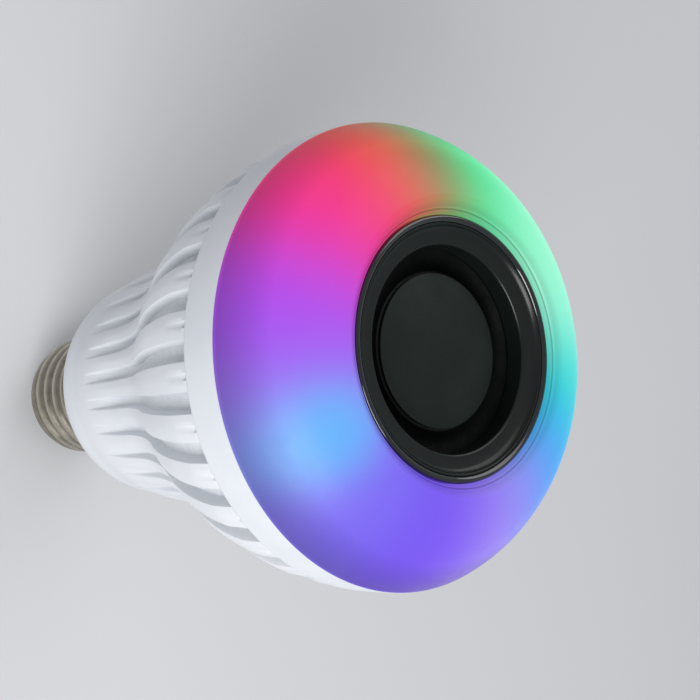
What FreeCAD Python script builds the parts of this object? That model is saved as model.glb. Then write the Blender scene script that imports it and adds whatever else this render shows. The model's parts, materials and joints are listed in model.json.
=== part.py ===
"""A colour-changing LED bulb with a loudspeaker in its face, on an Edison screw base.

The bulb stands on its centre contact: the origin is the middle of the contact's outer face,
+Z runs along the bulb's axis to the face, and every size is in millimetres and degrees.
"""
import FreeCAD, Part
import math
import os

import Sketcher

UP = FreeCAD.Vector(0, 0, 1)
FULL_TURN = 360
doc = FreeCAD.newDocument("music_bulb")
sheet = doc.addObject("Spreadsheet::Sheet", "sizes")
sub_parts = []


# ---------------------------------------------------------------- sizes and expressions

class Size:
    """A number with the expression on the sheet's cells that it comes from."""

    def __init__(self, value, text):
        self.value = value
        self.text = text

    def joined(self, other, sign, value):
        return Size(value, f"({self.text} {sign} {size_of(other).text})")

    def __add__(self, other):
        return self.joined(other, "+", self.value + size_of(other).value)

    def __sub__(self, other):
        return self.joined(other, "-", self.value - size_of(other).value)

    def __mul__(self, other):
        return self.joined(other, "*", self.value * size_of(other).value)

    def __truediv__(self, other):
        return self.joined(other, "/", self.value / size_of(other).value)

    def __neg__(self):
        return Size(-self.value, f"(0 - {self.text})")


def size_of(number):
    """The number as a Size, if it isn't one already."""
    return number if isinstance(number, Size) else Size(number, f"{number:.9g}")


def cell(alias, value):
    """Puts a driving size on the sheet and returns it."""
    row = len(cells) + 1
    cells.append(alias)
    sheet.set(f"A{row}", alias)
    sheet.set(f"B{row}", str(value))
    sheet.setAlias(f"B{row}", alias)
    return Size(value, f"sizes.{alias}")


cells = []

# Heights above the contact's outer face
SEAM_Z = cell("seam_height", 118)
DIFFUSER_DEPTH = cell("diffuser_depth", 14)
RIM_DEPTH = cell("rim_depth", 7.9)
NECK_END_Z = cell("neck_end_height", 31)
AUDIO_BOARD_Z = cell("audio_board_height", 90)
ENCLOSURE_Z = cell("enclosure_height", 99)
FRAME_Z = cell("speaker_flange_height", 124)

# Housing
SEAM_RADIUS = cell("seam_radius", 40)
RIM_STEP = cell("rim_step", 0.4)
NECK_RADIUS = cell("neck_radius", 25.5)
NECK_END_RADIUS = cell("neck_end_radius", 14.5)
WALL = cell("housing_wall", 1.5)
FLUTE_COUNT = 30
FLUTE_ANGLE = 4.6
FLUTE_DEPTH = cell("flute_depth", 2.3)

# Edison screw, 27 mm: crest and root radius and pitch of the rolled thread
CREST_RADIUS = cell("thread_crest_radius", 13.1)
ROOT_RADIUS = cell("thread_root_radius", 12.2)
PITCH = cell("thread_pitch", 3.629)
SHELL_WALL = cell("shell_wall", 0.6)
SHELL_END_Z = cell("shell_end_height", 6.4)

# Face
BEZEL_RADIUS = cell("bezel_radius", 22.1)
OPENING_RADIUS = cell("speaker_opening_radius", 17.2)
DISC_RADIUS = cell("diaphragm_radius", 13)
DIFFUSER_WALL = cell("diffuser_wall", 1.6)

# Loudspeaker motor
COIL_RADIUS = cell("coil_radius", 7)
MAGNET_RADIUS = cell("magnet_radius", 14)
MAGNET_HEIGHT = cell("magnet_thickness", 6)

# Boards
BOARD_THICKNESS = cell("board_thickness", 1.6)
LED_BOARD_RADIUS = cell("led_board_radius", 36.2)
SCREW_RING = cell("screw_ring_radius", 32.8)
AUDIO_SCREW_RING = cell("audio_screw_ring_radius", 24.6)
LEAD_RADIUS = cell("lead_radius", 0.55)
LED_CABLE_RING = 27.6

SHELL_BORE = ROOT_RADIUS - SHELL_WALL
RIM_Z = SEAM_Z - RIM_DEPTH
BOARD_SEAT_Z = RIM_Z + 0.4
RIB_RADIUS = SEAM_RADIUS - RIM_STEP
LED_BOARD_Z = BOARD_SEAT_Z + 1.5
LED_TOP_Z = LED_BOARD_Z + BOARD_THICKNESS
AUDIO_TOP_Z = AUDIO_BOARD_Z + BOARD_THICKNESS
FRAME_TOP_Z = FRAME_Z + 0.8
BEZEL_Z = FRAME_TOP_Z + 0.7
ENCLOSURE_RADIUS = BEZEL_RADIUS - 0.1
CONE_EDGE_Z = FRAME_TOP_Z + 0.4


# ---------------------------------------------------------------- makers

def new_body(label):
    """An empty body that becomes one sub-part."""
    body = doc.addObject("PartDesign::Body", label)
    body.Label = label
    sub_parts.append(body)
    return body


def on_plane(body, name, role, height=None):
    """A sketch on one of the body's own origin planes, raised by height."""
    sketch = body.newObject("Sketcher::SketchObject", name)
    plane = next(feature for feature in body.Origin.OriginFeatures if feature.Role == role)
    sketch.AttachmentSupport = [(plane, "")]
    sketch.MapMode = "FlatFace"
    if height is not None:
        sketch.setExpression("AttachmentOffset.Base.z", height.text)
    return sketch


def bind(sketch, constraint, size):
    """Adds a constraint and ties its value to the sheet."""
    index = sketch.addConstraint(constraint)
    sketch.setExpression(f"Constraints[{index}]", size.text)


def pin_point(sketch, edge, vertex, x, y):
    """Fixes one vertex of a sketch at x, y."""
    bind(sketch, Sketcher.Constraint("DistanceX", edge, vertex, x.value), x)
    bind(sketch, Sketcher.Constraint("DistanceY", edge, vertex, y.value), y)


def arc_edge(start, end, radius, side):
    """The short arc from start to end: side 1 turns left on the way, -1 turns right."""
    chord = end - start
    middle = (start + end) * 0.5
    rise = math.sqrt(max(radius**2 - (chord.Length / 2)**2, 0))
    left = FreeCAD.Vector(-chord.y, chord.x, 0).normalize()
    centre = middle + left * (rise * side)
    first, last = (start, end) if side > 0 else (end, start)
    angles = [math.atan2(point.y - centre.y, point.x - centre.x) for point in (first, last)]
    return Part.ArcOfCircle(Part.Circle(centre, UP, radius), *angles)


def outline(sketch, steps):
    """Closes a loop through the steps: (x, y) goes straight there, (x, y, radius, side) by an arc."""
    corners = [(size_of(step[0]), size_of(step[1])) for step in steps]
    points = [FreeCAD.Vector(x.value, y.value, 0) for x, y in corners]
    joints = []
    for number, step in enumerate(steps):
        start, end = points[number - 1], points[number]
        if len(step) == 2:
            edge = sketch.addGeometry(Part.LineSegment(start, end), False)
            vertices = (1, 2)
        else:
            radius, side = size_of(step[2]), step[3]
            edge = sketch.addGeometry(arc_edge(start, end, radius.value, side), False)
            bind(sketch, Sketcher.Constraint("Radius", edge, radius.value), radius)
            vertices = (1, 2) if side > 0 else (2, 1)
        joints.append((edge, vertices))
    for number, (edge, vertices) in enumerate(joints):
        next_edge, next_vertices = joints[(number + 1) % len(joints)]
        sketch.addConstraint(Sketcher.Constraint("Coincident", edge, vertices[1], next_edge, next_vertices[0]))
        pin_point(sketch, edge, vertices[1], *corners[number])


def ring_in(sketch, x, y, radius):
    """A circle in a sketch, with its centre and radius tied to the sheet."""
    x, y, radius = size_of(x), size_of(y), size_of(radius)
    centre = FreeCAD.Vector(x.value, y.value, 0)
    edge = sketch.addGeometry(Part.Circle(centre, UP, radius.value), False)
    bind(sketch, Sketcher.Constraint("Radius", edge, radius.value), radius)
    pin_point(sketch, edge, 3, x, y)


def turn(body, steps):
    """Turns a half outline, given as radius and height, about the bulb's axis."""
    sketch = on_plane(body, body.Label + "_outline", "XZ_Plane")
    outline(sketch, steps)
    revolution = body.newObject("PartDesign::Revolution", body.Label + "_turn")
    revolution.Profile = sketch
    revolution.ReferenceAxis = (sketch, ["V_Axis"])
    revolution.Angle = FULL_TURN
    return revolution


def turned(label, steps):
    """A sub-part that is round about the bulb's axis."""
    body = new_body(label)
    turn(body, steps)
    return body


def plate(label, height, thickness, circles):
    """A flat round sub-part: circles are (x, y, radius), the first is its edge and the others are holes."""
    body = new_body(label)
    sketch = on_plane(body, label + "_outline", "XY_Plane", height)
    for circle in circles:
        ring_in(sketch, *circle)
    pad = body.newObject("PartDesign::Pad", label + "_pad")
    pad.Profile = sketch
    pad.setExpression("Length", size_of(thickness).text)
    return body


def drill(body, name, top, circles):
    """Sinks round holes, given as (x, y, radius), 3 mm down from top."""
    doc.recompute()
    whole = body.Shape.Volume
    sketch = on_plane(body, name, "XY_Plane", top)
    for circle in circles:
        ring_in(sketch, *circle)
    hole = body.newObject("PartDesign::Pocket", name + "_pocket")
    hole.Profile = sketch
    hole.Length = 3
    doc.recompute()
    if body.Shape.Volume >= whole:
        raise RuntimeError(f"{name} cuts nothing from {body.Label}")


def place(item, x, y, z, angle=0):
    """Ties an object's place to the sheet, turned by angle about +Z."""
    item.Placement.Rotation = FreeCAD.Rotation(UP, angle)
    for axis, size in zip("xyz", (x, y, z)):
        item.setExpression(f"Placement.Base.{axis}", size_of(size).text)
    return item


def set_sizes(item, **sizes):
    """Ties named properties to the sheet."""
    for name, size in sizes.items():
        item.setExpression(name, size_of(size).text)
    return item


def block(name, centre, bottom, width, depth, height, angle=0):
    """A box standing on bottom, centred on (x, y) and turned by angle."""
    item = set_sizes(doc.addObject("Part::Box", name), Length=width, Width=depth, Height=height)
    turned_by = math.radians(angle)
    half_width, half_depth = size_of(width) / 2, size_of(depth) / 2
    x = size_of(centre[0]) - half_width * math.cos(turned_by) + half_depth * math.sin(turned_by)
    y = size_of(centre[1]) - half_width * math.sin(turned_by) - half_depth * math.cos(turned_by)
    return place(item, x, y, bottom, angle)


def rod(name, centre, bottom, radius, height):
    """A cylinder standing on bottom at (x, y)."""
    item = set_sizes(doc.addObject("Part::Cylinder", name), Radius=radius, Height=height)
    return place(item, centre[0], centre[1], bottom)


def sub_part(item, label):
    """Makes an object a sub-part under its label."""
    item.Label = label
    sub_parts.append(item)
    return item


def joined(label, pieces, kind="Part::Compound"):
    """Pieces as one object: a group of separate solids, or with Part::MultiFuse one solid."""
    item = doc.addObject(kind, label)
    if kind == "Part::Compound":
        item.Links = pieces
    else:
        item.Shapes = pieces
    return item


def cut(name, base, tool):
    """The base with the tool taken away."""
    item = doc.addObject("Part::Cut", name)
    item.Base = base
    item.Tool = tool
    return item


def around(radius, angle):
    """The x and y of a point on a circle about the axis."""
    return (size_of(radius) * math.cos(math.radians(angle)), size_of(radius) * math.sin(math.radians(angle)))


def screws(label, ring, angles, head_z, head, shank, upwards=False):
    """Pan-head screws on a ring: head and shank are (radius, height); the shank points down unless upwards."""
    made = []
    for number, angle in enumerate(angles):
        centre = around(ring, angle)
        cap_z = head_z - head[1] if upwards else head_z
        shank_z = head_z if upwards else head_z - shank[1]
        cap = rod(f"{label}_head_{number}", centre, cap_z, *head)
        stem = rod(f"{label}_shank_{number}", centre, shank_z, *shank)
        made.append(joined(f"{label}_{number}", [cap, stem], "Part::MultiFuse"))
    return sub_part(joined(label, made), label)


def lead_shape(points, radius):
    """A round lead along straight runs with tangent arcs at the bends."""
    route = [FreeCAD.Vector(*point) for point in points]
    edges = []
    start = route[0]
    for before, corner, after in zip(route, route[1:], route[2:]):
        into, out = (before - corner).normalize(), (after - corner).normalize()
        shorter = min((corner - before).Length, (after - corner).Length)
        reach = 0.45 * shorter
        first, last = corner + into * reach, corner + out * reach
        half_turn = (math.pi - into.getAngle(out)) / 2
        bulge = reach * (1 / math.cos(half_turn) - 1) / math.tan(half_turn)
        inward = (into + out).normalize()
        edges.append(Part.LineSegment(start, first).toShape())
        edges.append(Part.Arc(first, corner + inward * bulge, last).toShape())
        start = last
    edges.append(Part.LineSegment(start, route[-1]).toShape())
    path = Part.Wire(edges)
    section = Part.Wire(Part.makeCircle(radius, route[0], route[1] - route[0]))
    return path.makePipeShell([section], True, False)


def leads(label, routes, radius=LEAD_RADIUS):
    """A group of leads, one for each route."""
    item = doc.addObject("Part::Feature", label)
    plain = [[[size_of(number).value for number in point] for point in route] for route in routes]
    item.Shape = Part.makeCompound([lead_shape(route, radius.value) for route in plain])
    return sub_part(item, label)


# ---------------------------------------------------------------- screw base

STEM_RADIUS = 1.5
CONTACT_TOP = 2.2
INSULATOR_TOP = 5.2


def make_centre_contact():
    """The brass button that the origin is on, with the rivet stem that its lead is soldered to."""
    turned("centre_contact", [
        (0, 0), (3.6, 0), (4.8, 1.0, 1.3, 1), (4.8, CONTACT_TOP), (STEM_RADIUS, CONTACT_TOP),
        (STEM_RADIUS, INSULATOR_TOP + 1), (0, INSULATOR_TOP + 1),
    ])


def make_base_insulator():
    """The cone that keeps the contact and the shell apart."""
    turned("base_insulator", [
        (STEM_RADIUS, CONTACT_TOP), (5.6, CONTACT_TOP), (6.6, 2.8), (SHELL_BORE - 0.4, SHELL_END_Z - 0.6),
        (SHELL_BORE, SHELL_END_Z), (SHELL_BORE, SHELL_END_Z + 2.2), (SHELL_BORE - 1.4, SHELL_END_Z + 2.2),
        (SHELL_BORE - 3.6, INSULATOR_TOP), (STEM_RADIUS, INSULATOR_TOP),
    ])


def make_screw_shell():
    """The rolled metal shell: a thin tube, a plain collar and a right-hand thread of rounded turns."""
    body = new_body("screw_shell")
    collar_z = NECK_END_Z - 5
    collar_radius = CREST_RADIUS + 0.1
    turn(body, [
        (SHELL_BORE, SHELL_END_Z), (ROOT_RADIUS, SHELL_END_Z + 0.5), (ROOT_RADIUS, collar_z - 0.8),
        (collar_radius, collar_z), (collar_radius, NECK_END_Z), (SHELL_BORE, NECK_END_Z),
    ])
    ridge = on_plane(body, "screw_shell_ridge", "XZ_Plane")
    first_z = SHELL_END_Z + 2
    half_width = 1.35
    inside = ROOT_RADIUS - 0.2
    outline(ridge, [
        (inside, first_z - half_width), (inside + 0.1, first_z - half_width),
        (CREST_RADIUS - 0.25, first_z - 0.7, 1.5, -1), (CREST_RADIUS - 0.25, first_z + 0.7, 1.1, 1),
        (inside + 0.1, first_z + half_width, 1.5, -1), (inside, first_z + half_width),
    ])
    helix = body.newObject("PartDesign::AdditiveHelix", "screw_shell_thread")
    helix.Profile = ridge
    helix.ReferenceAxis = (ridge, ["V_Axis"])
    helix.Mode = "pitch-height-angle"
    helix.setExpression("Pitch", PITCH.text)
    helix.setExpression("Height", (PITCH * 4.3).text)


# ---------------------------------------------------------------- housing

def housing_outside():
    """The housing before it is fluted and hollowed."""
    body = doc.addObject("PartDesign::Body", "housing_blank")
    spigot_z = NECK_END_Z - 15
    turn(body, [
        (0, spigot_z), (SHELL_BORE, spigot_z), (SHELL_BORE, NECK_END_Z), (NECK_END_RADIUS, NECK_END_Z),
        (NECK_RADIUS - 2.7, NECK_END_Z + 14, 16, 1), (NECK_RADIUS, SEAM_Z - 53, 150, 1),
        (NECK_RADIUS + 4.9, SEAM_Z - 38, 42, -1), (RIB_RADIUS - 0.3, SEAM_Z - 14, 78, 1),
        (RIB_RADIUS, RIM_Z), (SEAM_RADIUS, RIM_Z), (SEAM_RADIUS, SEAM_Z), (0, SEAM_Z),
    ])
    return body


def flute_floor():
    """What is left standing under the flutes; it meets the outside where they run out near the neck's end."""
    body = doc.addObject("PartDesign::Body", "housing_flute_floor")
    clear = NECK_RADIUS + 1
    turn(body, [
        (0, NECK_END_Z), (clear, NECK_END_Z), (clear, NECK_END_Z + 14),
        (NECK_RADIUS - 1.9, NECK_END_Z + 17.5), (NECK_RADIUS - 1.2, SEAM_Z - 52.6, 150, 1),
        (NECK_RADIUS + 3.4, SEAM_Z - 37, 44, -1),
        (RIB_RADIUS - FLUTE_DEPTH, SEAM_Z - 13.6, 76, 1), (RIB_RADIUS - FLUTE_DEPTH, SEAM_Z), (0, SEAM_Z),
    ])
    return body


def flute_cutters():
    """Thirty wedges about the axis, one for each flute."""
    body = doc.addObject("PartDesign::Body", "housing_flute_wedges")
    bottom = NECK_END_Z + 5
    sketch = on_plane(body, "wedge_outline", "XY_Plane", bottom)
    reach = SEAM_RADIUS + 4
    half_width = math.tan(math.radians(FLUTE_ANGLE / 2))
    outline(sketch, [(0, 0), (reach, reach * -half_width), (reach, reach * half_width)])
    pad = body.newObject("PartDesign::Pad", "wedge_pad")
    pad.Profile = sketch
    pad.setExpression("Length", (RIM_Z - bottom).text)
    pattern = body.newObject("PartDesign::PolarPattern", "wedge_pattern")
    pattern.Originals = [pad]
    pattern.Axis = (sketch, ["N_Axis"])
    pattern.Angle = FULL_TURN
    pattern.Occurrences = FLUTE_COUNT
    body.Tip = pattern
    return body


def housing_cavity():
    """The hollow inside: the lead passage, the neck, the bell and the seat of the heat spreader."""
    body = doc.addObject("PartDesign::Body", "housing_cavity")
    passage = SHELL_BORE - 2
    seat_radius = SEAM_RADIUS - 2.1
    bell_radius = RIB_RADIUS - FLUTE_DEPTH - WALL
    turn(body, [
        (0, NECK_END_Z - 20), (passage, NECK_END_Z - 20), (passage, NECK_END_Z + 4.5),
        (NECK_END_RADIUS - 2, NECK_END_Z + 4.5), (NECK_RADIUS - 4.4, NECK_END_Z + 13.5, 13, 1),
        (NECK_RADIUS - 2.9, SEAM_Z - 52.2, 150, 1), (NECK_RADIUS + 1.7, SEAM_Z - 36.6, 46, -1),
        (bell_radius, SEAM_Z - 13, 74, 1), (bell_radius, BOARD_SEAT_Z), (seat_radius, BOARD_SEAT_Z),
        (seat_radius, SEAM_Z + 1), (0, SEAM_Z + 1),
    ])
    return body


def post(name, ring, angle, bottom, top, radius):
    """A screw post inside the housing, with its pilot hole."""
    centre = around(ring, angle)
    solid = rod(name + "_solid", centre, bottom, radius, top - bottom)
    pilot = rod(name + "_pilot", centre, bottom + 1, SCREW_SHANK, top - bottom)
    return cut(name, solid, pilot)


def make_fluted_housing():
    """The white housing with its posts and the rails that hold the driver board."""
    flutes = cut("housing_flutes", flute_cutters(), flute_floor())
    shell = cut("housing_shell", cut("housing_fluted", housing_outside(), flutes), housing_cavity())
    extras = []
    for number, angle in enumerate(LED_SCREW_ANGLES):
        extras.append(post(f"led_post_{number}", SCREW_RING, angle, BOARD_SEAT_Z - 9, BOARD_SEAT_Z, 2.6))
    for number, angle in enumerate(AUDIO_SCREW_ANGLES):
        extras.append(post(f"audio_post_{number}", AUDIO_SCREW_RING, angle, AUDIO_BOARD_Z - 16, AUDIO_BOARD_Z, 2.3))
    for side in (-1, 1):
        for face in (-1, 1):
            centre = (side * (DRIVER_WIDTH / 2 + 2.7), face * (DRIVER_THICKNESS / 2 + 0.7))
            extras.append(block(f"rail_{side + 1}{face + 1}", centre, NECK_END_Z + 14, 7.4, 1.4, 34))
    sub_part(joined("fluted_housing_solid", [shell] + extras, "Part::MultiFuse"), "fluted_housing")


SCREW_SHANK = 1.0
LED_SCREW_ANGLES = (0, 120, 240)
AUDIO_SCREW_ANGLES = (60, 180, 300)
FLANGE_SCREW_ANGLES = (30, 150, 210, 330)
FLANGE_SCREW_RING = BEZEL_RADIUS + 2
DRIVER_WIDTH = 32
DRIVER_THICKNESS = 1.6


# ---------------------------------------------------------------- light

def make_heat_spreader():
    """The aluminium ring that the light board lies on."""
    plate("heat_spreader", BOARD_SEAT_Z, LED_BOARD_Z - BOARD_SEAT_Z, [
        (0, 0, SEAM_RADIUS - 2.3), (0, 0, BEZEL_RADIUS + 0.1), (0, -LED_CABLE_RING, 2.8),
    ] + [(*around(SCREW_RING, angle), 1.4) for angle in LED_SCREW_ANGLES]
      + [(*around(FLANGE_SCREW_RING, angle), SCREW_SHANK) for angle in FLANGE_SCREW_ANGLES])


def make_led_board():
    """The ring-shaped light board."""
    plate("led_board", LED_BOARD_Z, BOARD_THICKNESS, [
        (0, 0, LED_BOARD_RADIUS), (0, 0, BEZEL_RADIUS + 1.4), (0, -LED_CABLE_RING, 2.8),
    ] + [(*around(SCREW_RING, angle), 1.4) for angle in LED_SCREW_ANGLES])


def make_leds():
    """Two rings of lamps on the board: colour ones inside, white ones outside."""
    for label, count, ring, width, depth, height in (
        ("rgb_leds", 12, LED_BOARD_RADIUS - 9, 5, 5, 1.6),
        ("white_leds", 18, LED_BOARD_RADIUS - 3.2, 2.8, 3.5, 0.8),
    ):
        lamps = []
        for number in range(count):
            angle = (number + 0.5) * FULL_TURN / count
            centre = around(ring, angle)
            lamps.append(block(f"{label}_{number}", centre, LED_TOP_Z, width, depth, height, angle))
        sub_part(joined(label + "_group", lamps), label)


def make_led_socket():
    """The socket over the cable hole in the light board."""
    sub_part(block("led_socket_block", (0, -LED_CABLE_RING), LED_TOP_Z, 8, 5.8, 3.6), "led_socket")


def make_diffuser():
    """The opal ring in front of the lamps: a crowned face, a skirt inside the rim and one round the speaker."""
    crest_z = SEAM_Z + DIFFUSER_DEPTH
    skirt_radius = SEAM_RADIUS - 2.2
    inner_radius = BEZEL_RADIUS + 0.3
    turned("diffuser", [
        (SEAM_RADIUS - 0.1, SEAM_Z), (SEAM_RADIUS - 7, crest_z - 4.1, 25, 1), (SEAM_RADIUS - 15, crest_z, 20, 1),
        (inner_radius, crest_z - 1.8, 2.6, 1), (inner_radius, LED_TOP_Z + 0.1),
        (inner_radius + 0.9, LED_TOP_Z + 0.1), (inner_radius + 0.9, crest_z - 3),
        (SEAM_RADIUS - 15, crest_z - DIFFUSER_WALL, 2, -1),
        (SEAM_RADIUS - 8.2, crest_z - 5.4, 18.5, -1), (skirt_radius - 1.2, SEAM_Z + 2.6, 23.5, -1),
        (skirt_radius - 1.2, SEAM_Z - 5), (skirt_radius, SEAM_Z - 5), (skirt_radius, SEAM_Z),
    ])


# ---------------------------------------------------------------- loudspeaker

def make_bezel():
    """The narrow glossy trim round the speaker and, inside it, the dished front ring down to the opening."""
    step_radius = BEZEL_RADIUS - 1.3
    trim_z = SEAM_Z + DIFFUSER_DEPTH - 2
    turned("bezel_trim", [
        (step_radius + 0.1, BEZEL_Z), (BEZEL_RADIUS, BEZEL_Z), (BEZEL_RADIUS, trim_z),
        (BEZEL_RADIUS - 0.6, trim_z + 0.6, 0.6, 1), (step_radius + 0.1, trim_z + 0.3, 0.8, 1),
    ])
    turned("speaker_front_ring", [
        (OPENING_RADIUS, BEZEL_Z), (step_radius, BEZEL_Z), (step_radius, trim_z + 0.2),
        (step_radius - 1.2, trim_z - 0.8, 1.6, -1), (OPENING_RADIUS + 0.5, trim_z - 1),
        (OPENING_RADIUS, trim_z - 1.5, 0.5, 1),
    ])


def make_enclosure():
    """The cup behind the speaker that closes its air off from the boards, and the screws of its flange."""
    body = new_body("speaker_enclosure")
    inside = ENCLOSURE_RADIUS - 1.4
    flange_radius = ENCLOSURE_RADIUS + 4
    turn(body, [
        (0, ENCLOSURE_Z), (ENCLOSURE_RADIUS - 1, ENCLOSURE_Z), (ENCLOSURE_RADIUS, ENCLOSURE_Z + 1, 1, 1),
        (ENCLOSURE_RADIUS, BOARD_SEAT_Z - 1.6), (flange_radius, BOARD_SEAT_Z - 1.6),
        (flange_radius, BOARD_SEAT_Z), (ENCLOSURE_RADIUS, BOARD_SEAT_Z), (ENCLOSURE_RADIUS, FRAME_Z),
        (inside, FRAME_Z), (inside, ENCLOSURE_Z + 1.5), (0, ENCLOSURE_Z + 1.5),
    ])
    drill(body, "lead_hole", ENCLOSURE_Z + 2, [(0, SPEAKER_LEAD_RING, 3.2)])
    drill(body, "flange_holes", BOARD_SEAT_Z + 0.5, [
        (*around(FLANGE_SCREW_RING, angle), SCREW_SHANK) for angle in FLANGE_SCREW_ANGLES
    ])
    screws("enclosure_screws", FLANGE_SCREW_RING, FLANGE_SCREW_ANGLES, BOARD_SEAT_Z - 1.6,
           (1.8, 1.4), (SCREW_SHANK, 2.6), upwards=True)


SPEAKER_LEAD_RING = 16.5
WINDOW_ANGLE = 44
WINDOW_COUNT = 4


def make_basket():
    """The pressed steel frame, open at four windows."""
    body = new_body("speaker_basket")
    foot_z = FRAME_Z - 10
    turn(body, [
        (COIL_RADIUS + 1.6, foot_z), (MAGNET_RADIUS - 0.4, foot_z), (MAGNET_RADIUS, foot_z + 2.2),
        (MAGNET_RADIUS + 1.6, foot_z + 2.2), (OPENING_RADIUS + 0.8, FRAME_Z - 0.6), (OPENING_RADIUS + 0.8, FRAME_Z),
        (ENCLOSURE_RADIUS - 0.2, FRAME_Z), (ENCLOSURE_RADIUS - 0.2, FRAME_TOP_Z), (OPENING_RADIUS + 0.3, FRAME_TOP_Z),
        (OPENING_RADIUS + 0.3, FRAME_Z + 0.2), (MAGNET_RADIUS + 1.1, foot_z + 2.8),
        (MAGNET_RADIUS - 0.6, foot_z + 2.8), (MAGNET_RADIUS - 1, foot_z + 0.6), (COIL_RADIUS + 1.6, foot_z + 0.6),
    ])
    doc.recompute()
    whole = body.Shape.Volume
    sketch = on_plane(body, "window_outline", "XZ_Plane")
    low, high = foot_z + 4, FRAME_Z - 1.4
    outline(sketch, [
        (MAGNET_RADIUS + 0.8, low), (MAGNET_RADIUS + 6, low), (MAGNET_RADIUS + 6, high), (MAGNET_RADIUS + 0.8, high),
    ])
    window = body.newObject("PartDesign::Groove", "window_cut")
    window.Profile = sketch
    window.ReferenceAxis = (sketch, ["V_Axis"])
    window.Angle = WINDOW_ANGLE
    window.Midplane = True
    pattern = body.newObject("PartDesign::PolarPattern", "window_pattern")
    pattern.Originals = [window]
    pattern.Axis = (sketch, ["V_Axis"])
    pattern.Angle = FULL_TURN
    pattern.Occurrences = WINDOW_COUNT
    body.Tip = pattern
    doc.recompute()
    if body.Shape.Volume >= whole:
        raise RuntimeError("the basket's windows cut nothing")


def make_motor():
    """The magnet between its two plates, and the pole that the coil slides over."""
    foot_z = FRAME_Z - 10
    plate_z = foot_z - 2.5
    back_z = plate_z - MAGNET_HEIGHT
    gap = COIL_RADIUS + 0.9
    turned("top_plate", [
        (gap, plate_z), (MAGNET_RADIUS - 1, plate_z), (MAGNET_RADIUS - 1, foot_z), (gap, foot_z),
    ])
    turned("ring_magnet", [
        (gap + 1.1, back_z), (MAGNET_RADIUS, back_z), (MAGNET_RADIUS, plate_z), (gap + 1.1, plate_z),
    ])
    turned("yoke", [
        (0, back_z - 2), (MAGNET_RADIUS - 1, back_z - 2), (MAGNET_RADIUS - 1, back_z),
        (COIL_RADIUS - 0.6, back_z), (COIL_RADIUS - 0.6, foot_z + 0.2), (0, foot_z + 0.2),
    ])


def dome_radius(edge_radius, rise):
    """The radius of a dome that rises so far over its edge, with its centre on the axis."""
    return (edge_radius * edge_radius + rise * rise) / (2 * rise)


def make_moving_parts():
    """What travels along the axis: cone, dust cap, coil former and winding."""
    edge_z = CONE_EDGE_Z
    neck_z = edge_z - 6.4
    cap_rise = 1.3
    cap_z = edge_z + 0.8
    skin = 0.5
    inner_radius = DISC_RADIUS - 0.6
    inner_rise = cap_rise - 0.1
    turned("cone", [
        (COIL_RADIUS, neck_z), (COIL_RADIUS + 0.4, neck_z), (DISC_RADIUS - 0.5, edge_z - 0.4),
        (DISC_RADIUS + 0.2, edge_z - 0.4), (DISC_RADIUS + 0.2, edge_z), (DISC_RADIUS - 0.8, edge_z),
        (COIL_RADIUS, neck_z + 0.6),
    ])
    turned("dust_cap", [
        (inner_radius, edge_z), (DISC_RADIUS, edge_z), (DISC_RADIUS, cap_z),
        (0, cap_z + cap_rise, dome_radius(DISC_RADIUS, cap_rise), 1), (0, cap_z + cap_rise - skin),
        (inner_radius, cap_z + cap_rise - skin - inner_rise, dome_radius(inner_radius, inner_rise), -1),
    ])
    turned("coil_former", [
        (COIL_RADIUS - 0.2, FRAME_Z - 13.6), (COIL_RADIUS, FRAME_Z - 13.6), (COIL_RADIUS, neck_z + 1),
        (COIL_RADIUS - 0.2, neck_z + 1),
    ])
    turned("coil_winding", [
        (COIL_RADIUS, FRAME_Z - 13.2), (COIL_RADIUS + 0.45, FRAME_Z - 13.2),
        (COIL_RADIUS + 0.45, FRAME_Z - 9.4), (COIL_RADIUS, FRAME_Z - 9.4),
    ])


def make_soft_parts():
    """The rubber surround, the corrugated spider and the foam under the bezel."""
    edge_z = CONE_EDGE_Z
    turned("surround", [
        (OPENING_RADIUS + 1.1, edge_z - 0.4), (OPENING_RADIUS + 1.1, edge_z), (OPENING_RADIUS, edge_z),
        (DISC_RADIUS + 0.4, edge_z, 2.0, -1), (DISC_RADIUS + 0.2, edge_z), (DISC_RADIUS + 0.2, edge_z - 0.4),
        (DISC_RADIUS + 0.3, edge_z - 0.5), (OPENING_RADIUS + 0.15, edge_z - 0.5, 2.25, 1),
        (OPENING_RADIUS + 0.25, edge_z - 0.4),
    ])
    spider_z = FRAME_Z - 7.2
    outer = MAGNET_RADIUS + 0.9
    folds = 8
    fold = (outer - COIL_RADIUS - 1.6) / folds
    upper = [(COIL_RADIUS, spider_z + 0.3)]
    lower = [(COIL_RADIUS, spider_z)]
    for number in range(folds + 1):
        radius = outer - 1.2 - fold * (folds - number)
        lift = 0.5 if number % 2 else 0
        upper.append((radius, spider_z + 0.3 + lift))
        lower.append((radius, spider_z + lift))
    upper.append((outer, spider_z + 0.3))
    lower.append((outer, spider_z))
    turned("spider", lower + upper[::-1])
    turned("speaker_gasket", [
        (OPENING_RADIUS + 1.3, FRAME_TOP_Z), (ENCLOSURE_RADIUS - 0.4, FRAME_TOP_Z),
        (ENCLOSURE_RADIUS - 0.4, BEZEL_Z), (OPENING_RADIUS + 1.3, BEZEL_Z),
    ])


def make_terminal_strip():
    """The strip under the basket's flange where the leads end."""
    strip = block("terminal_strip_block", (0, OPENING_RADIUS + 1.5), FRAME_Z - 6.5, 10, 1, 6.5)
    sub_part(strip, "terminal_strip")


# ---------------------------------------------------------------- electronics

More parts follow.
